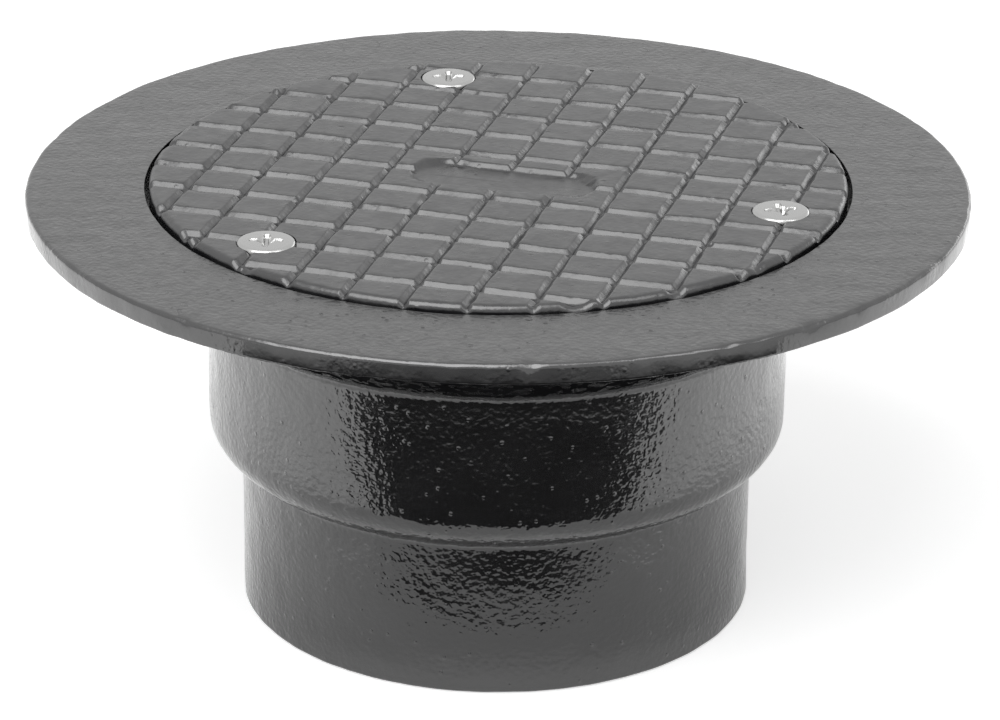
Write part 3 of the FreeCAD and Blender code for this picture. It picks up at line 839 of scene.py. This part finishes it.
lens = bpy.data.cameras.new("studio_camera")
lens.sensor_width = 36.0
lens.lens = 160.4
camera = put("studio_camera", lens)
level_right, level_up, eye_back = axes_at(view_turn, view_rise)
stand(camera, level_right * math.cos(view_roll) + level_up * math.sin(view_roll),
      level_up * math.cos(view_roll) - level_right * math.sin(view_roll), eye_back,
      turn_about @ view_aim + eye_back * view_distance)
bpy.context.scene.camera = camera


# Studio
# A white floor that runs out of sight under a white surround, with three soft lamps: a large one overhead, a
# strip at the right and a low one behind. In the gloss the floor shows painted light and shade round the
# part, and the dark room in front of the table is a painted reflection: a sheet that only the gloss mirrors.
floor_half = 6.0


def stage_sheet(name, points, faces):
    """Sheet of the studio from points and faces."""
    mesh = bpy.data.meshes.new(name)
    mesh.from_pydata(points.tolist(), [], faces.tolist())
    sheet = put(name, mesh)
    return sheet


def gloss_rays(tree):
    """Light path, and a value that is 1 for rays that are mirrored or let through."""
    rays = add(tree, "ShaderNodeLightPath")
    return rays, add(tree, "ShaderNodeMath", {0: rays.outputs["Is Glossy Ray"],
                                              1: rays.outputs["Is Transmission Ray"]}, operation="MAXIMUM")


floor_points = np.array([(-1, -1, 0), (1, -1, 0), (1, 1, 0), (-1, 1, 0)]) * floor_half
floor = stage_sheet("white_floor", floor_points, np.array([[0, 1, 2, 3]]))
floor_paint, tree = new_material("white_floor_paint")
rays, mirrored = gloss_rays(tree)
seen = add(tree, "ShaderNodeMath", {0: rays.outputs["Is Camera Ray"], 1: mirrored.outputs[0]},
           operation="MAXIMUM")
place = add(tree, "ShaderNodeTexCoord").outputs["Object"]
off_axis = add(tree, "ShaderNodeVectorMath", {0: place}, operation="LENGTH")
ahead = add(tree, "ShaderNodeVectorMath", {0: place, 1: tuple(view_front)}, operation="DOT_PRODUCT")
to_right = add(tree, "ShaderNodeVectorMath", {0: place, 1: tuple(view_right)}, operation="DOT_PRODUCT")

# Painted light and shade on the floor in the gloss: a painted shadow of the flange round the part, white past
# it and greyer in front, and painted grey light beside and behind the part and round its foot, dimmer on its
# right
painted_front_shade = add(tree, "ShaderNodeMapRange", {"Value": ahead.outputs["Value"], "From Min": -40 * mm,
                                              "From Max": 120 * mm, "To Min": 1.0, "To Max": 0.5})
clear = add(tree, "ShaderNodeMapRange", {"Value": off_axis.outputs["Value"], "From Min": 120 * mm,
                                         "From Max": 165 * mm, "To Max": painted_front_shade.outputs["Result"]})
painted_side_shade = add(tree, "ShaderNodeMapRange", {"Value": to_right.outputs["Value"], "From Min": -40 * mm,
                                            "From Max": 40 * mm, "To Min": 0.8, "To Max": 0.58})
beside = add(tree, "ShaderNodeMapRange", {"Value": ahead.outputs["Value"], "From Min": -25 * mm,
                                          "From Max": 85 * mm, "To Min": painted_side_shade.outputs["Result"],
                                          "To Max": 0.0})
foot = add(tree, "ShaderNodeMapRange", {"Value": off_axis.outputs["Value"], "From Min": 62 * mm,
                                        "From Max": 78 * mm, "To Min": 0.4, "To Max": 0.0})
painted_floor_light = clear
for part in (beside, foot):
    painted_floor_light = add(tree, "ShaderNodeMath", {0: painted_floor_light.outputs[0], 1: part.outputs["Result"]}, operation="MAXIMUM")
# Camera rays see an even glow; mirrored rays see the painted light and shade above
white = add(tree, "ShaderNodeMapRange", {"Value": mirrored.outputs[0], "To Min": 0.6,
                                         "To Max": painted_floor_light.outputs[0]})
glow = add(tree, "ShaderNodeEmission", {"Color": linear("#FFFFFF"), "Strength": white.outputs["Result"]})
matt = add(tree, "ShaderNodeBsdfDiffuse", {"Color": linear("#E4E4E4")})
both = add(tree, "ShaderNodeAddShader", {0: glow.outputs[0], 1: matt.outputs[0]})
mix = add(tree, "ShaderNodeMixShader", {"Fac": seen.outputs[0], 1: matt.outputs[0], 2: both.outputs[0]})
add(tree, "ShaderNodeOutputMaterial", {"Surface": mix.outputs[0]})
floor.data.materials.append(floor_paint)


room_depth = 4.0
room_near, room_far = 100 * mm, 460 * mm
dark_edge, dark_lift = 104 * mm, 0.2 * mm
step_from, step_run, step_left, step_right = 80 * mm, 30 * mm, 30 * mm, 10 * mm
flare_from, flare_most, flare_left, flare_right = 170 * mm, 1000 * mm, 0.6, 0.4


def dark_sheet(across_room, share):
    """Level sheet in front of the table, from its front edge at share 0 to the room's depth at share 1.

    The edge is straight at the middle, steps out beside the part, further on the left, and then flares away
    by a share of the way aside.
    """
    on_left, aside = across_room < 0, np.abs(across_room)
    step_out = np.where(on_left, step_left, step_right) * np.clip((aside - step_from) / step_run, 0, 1)
    flare = np.where(on_left, flare_left, flare_right) * np.clip(aside - flare_from, 0, flare_most)
    edge = dark_edge + step_out + flare
    ahead = edge + (room_depth - edge) * share
    return np.stack([across_room, -ahead, np.full(ahead.shape, dark_lift)], axis=-1)


# Columns of the sheet, bunched at the middle by a hyperbolic sine
bunching = 5
columns = np.sinh(np.linspace(-bunching, bunching, 161)) / np.sinh(bunching) * room_depth
shares = np.array([0.0, 0.1, 1.0])
dark_points = dark_sheet(*np.meshgrid(columns, shares)) @ turn_about.T
dark = stage_sheet("dark_front", dark_points.reshape(-1, 3), quads(len(shares), len(columns), 0, False))
# Paint of the sheet, a painted dark reflection: darkest near the part, greyer further off and brighter aside
dark_paint, tree = new_material("painted_dark_room")
place = add(tree, "ShaderNodeTexCoord").outputs["Object"]
off_axis = add(tree, "ShaderNodeVectorMath", {0: place}, operation="LENGTH")
to_right = add(tree, "ShaderNodeVectorMath", {0: place, 1: tuple(view_right)}, operation="DOT_PRODUCT")
to_side = add(tree, "ShaderNodeMath", {0: to_right.outputs["Value"]}, operation="ABSOLUTE")
lighter = add(tree, "ShaderNodeMapRange", {"Value": to_side.outputs[0], "From Min": 130 * mm,
                                           "From Max": 260 * mm, "To Min": 1.0, "To Max": 2.4})
deep = add(tree, "ShaderNodeMapRange", {"Value": off_axis.outputs["Value"], "From Min": room_near,
                                        "From Max": room_far})
shade = add(tree, "ShaderNodeValToRGB", {"Fac": deep.outputs["Result"]})
stops = shade.color_ramp.elements
for distance, grey in ((245 * mm, 0.06), (320 * mm, 0.33)):
    stops.new((distance - room_near) / (room_far - room_near)).color = (grey, grey, grey, 1)
stops[0].color = (0.04, 0.04, 0.04, 1)
stops[-1].color = (0.38, 0.38, 0.38, 1)
room = add(tree, "ShaderNodeEmission", {"Color": shade.outputs["Color"],
                                        "Strength": lighter.outputs["Result"]})
add(tree, "ShaderNodeOutputMaterial", {"Surface": room.outputs[0]})
dark.data.materials.append(dark_paint)
dark.visible_camera = False
dark.visible_diffuse = False
dark.visible_shadow = False
dark.visible_transmission = False


def softbox(name, width, height, distance, rise, side, radiance):
    """Rectangular lamp that faces the flange from a rise and a side angle off the camera, in degrees."""
    lamp = bpy.data.lights.new(name, "AREA")
    lamp.shape = "RECTANGLE"
    lamp.size = width
    lamp.size_y = height
    lamp.energy = radiance * math.pi * width * height
    right, up, back = axes_at(view_turn + math.radians(side), math.radians(rise))
    stand(put(name, lamp), right, up, back, back * distance + np.array([0, 0, flange_top]))


softbox("overhead_softbox", width=1.0, height=1.0, distance=1.1, rise=52, side=-30, radiance=3.4)
softbox("side_strip", width=0.35, height=0.8, distance=1.2, rise=50, side=55, radiance=2.4)
softbox("back_strip", width=0.9, height=0.26, distance=1.4, rise=8, side=140, radiance=1.9)

# White surround: plain white to the camera, a little under it in the gloss, and dim as a light
world = bpy.data.worlds.new("white_studio")
bpy.context.scene.world = world
world.use_nodes = True
tree = world.node_tree
tree.nodes.clear()
rays, mirrored = gloss_rays(tree)
plain = add(tree, "ShaderNodeMapRange", {"Value": rays.outputs["Is Camera Ray"], "To Min": 0.35,
                                         "To Max": 1.0})
in_gloss = add(tree, "ShaderNodeMath", {0: mirrored.outputs[0], 1: 0.9}, operation="MULTIPLY")
strength = add(tree, "ShaderNodeMath", {0: plain.outputs["Result"], 1: in_gloss.outputs[0]},
               operation="MAXIMUM")
surround = add(tree, "ShaderNodeBackground", {"Color": linear("#FFFFFF"), "Strength": strength.outputs[0]})
add(tree, "ShaderNodeOutputWorld", {"Surface": surround.outputs[0]})
bpy.context.scene.view_settings.view_transform = "Standard"
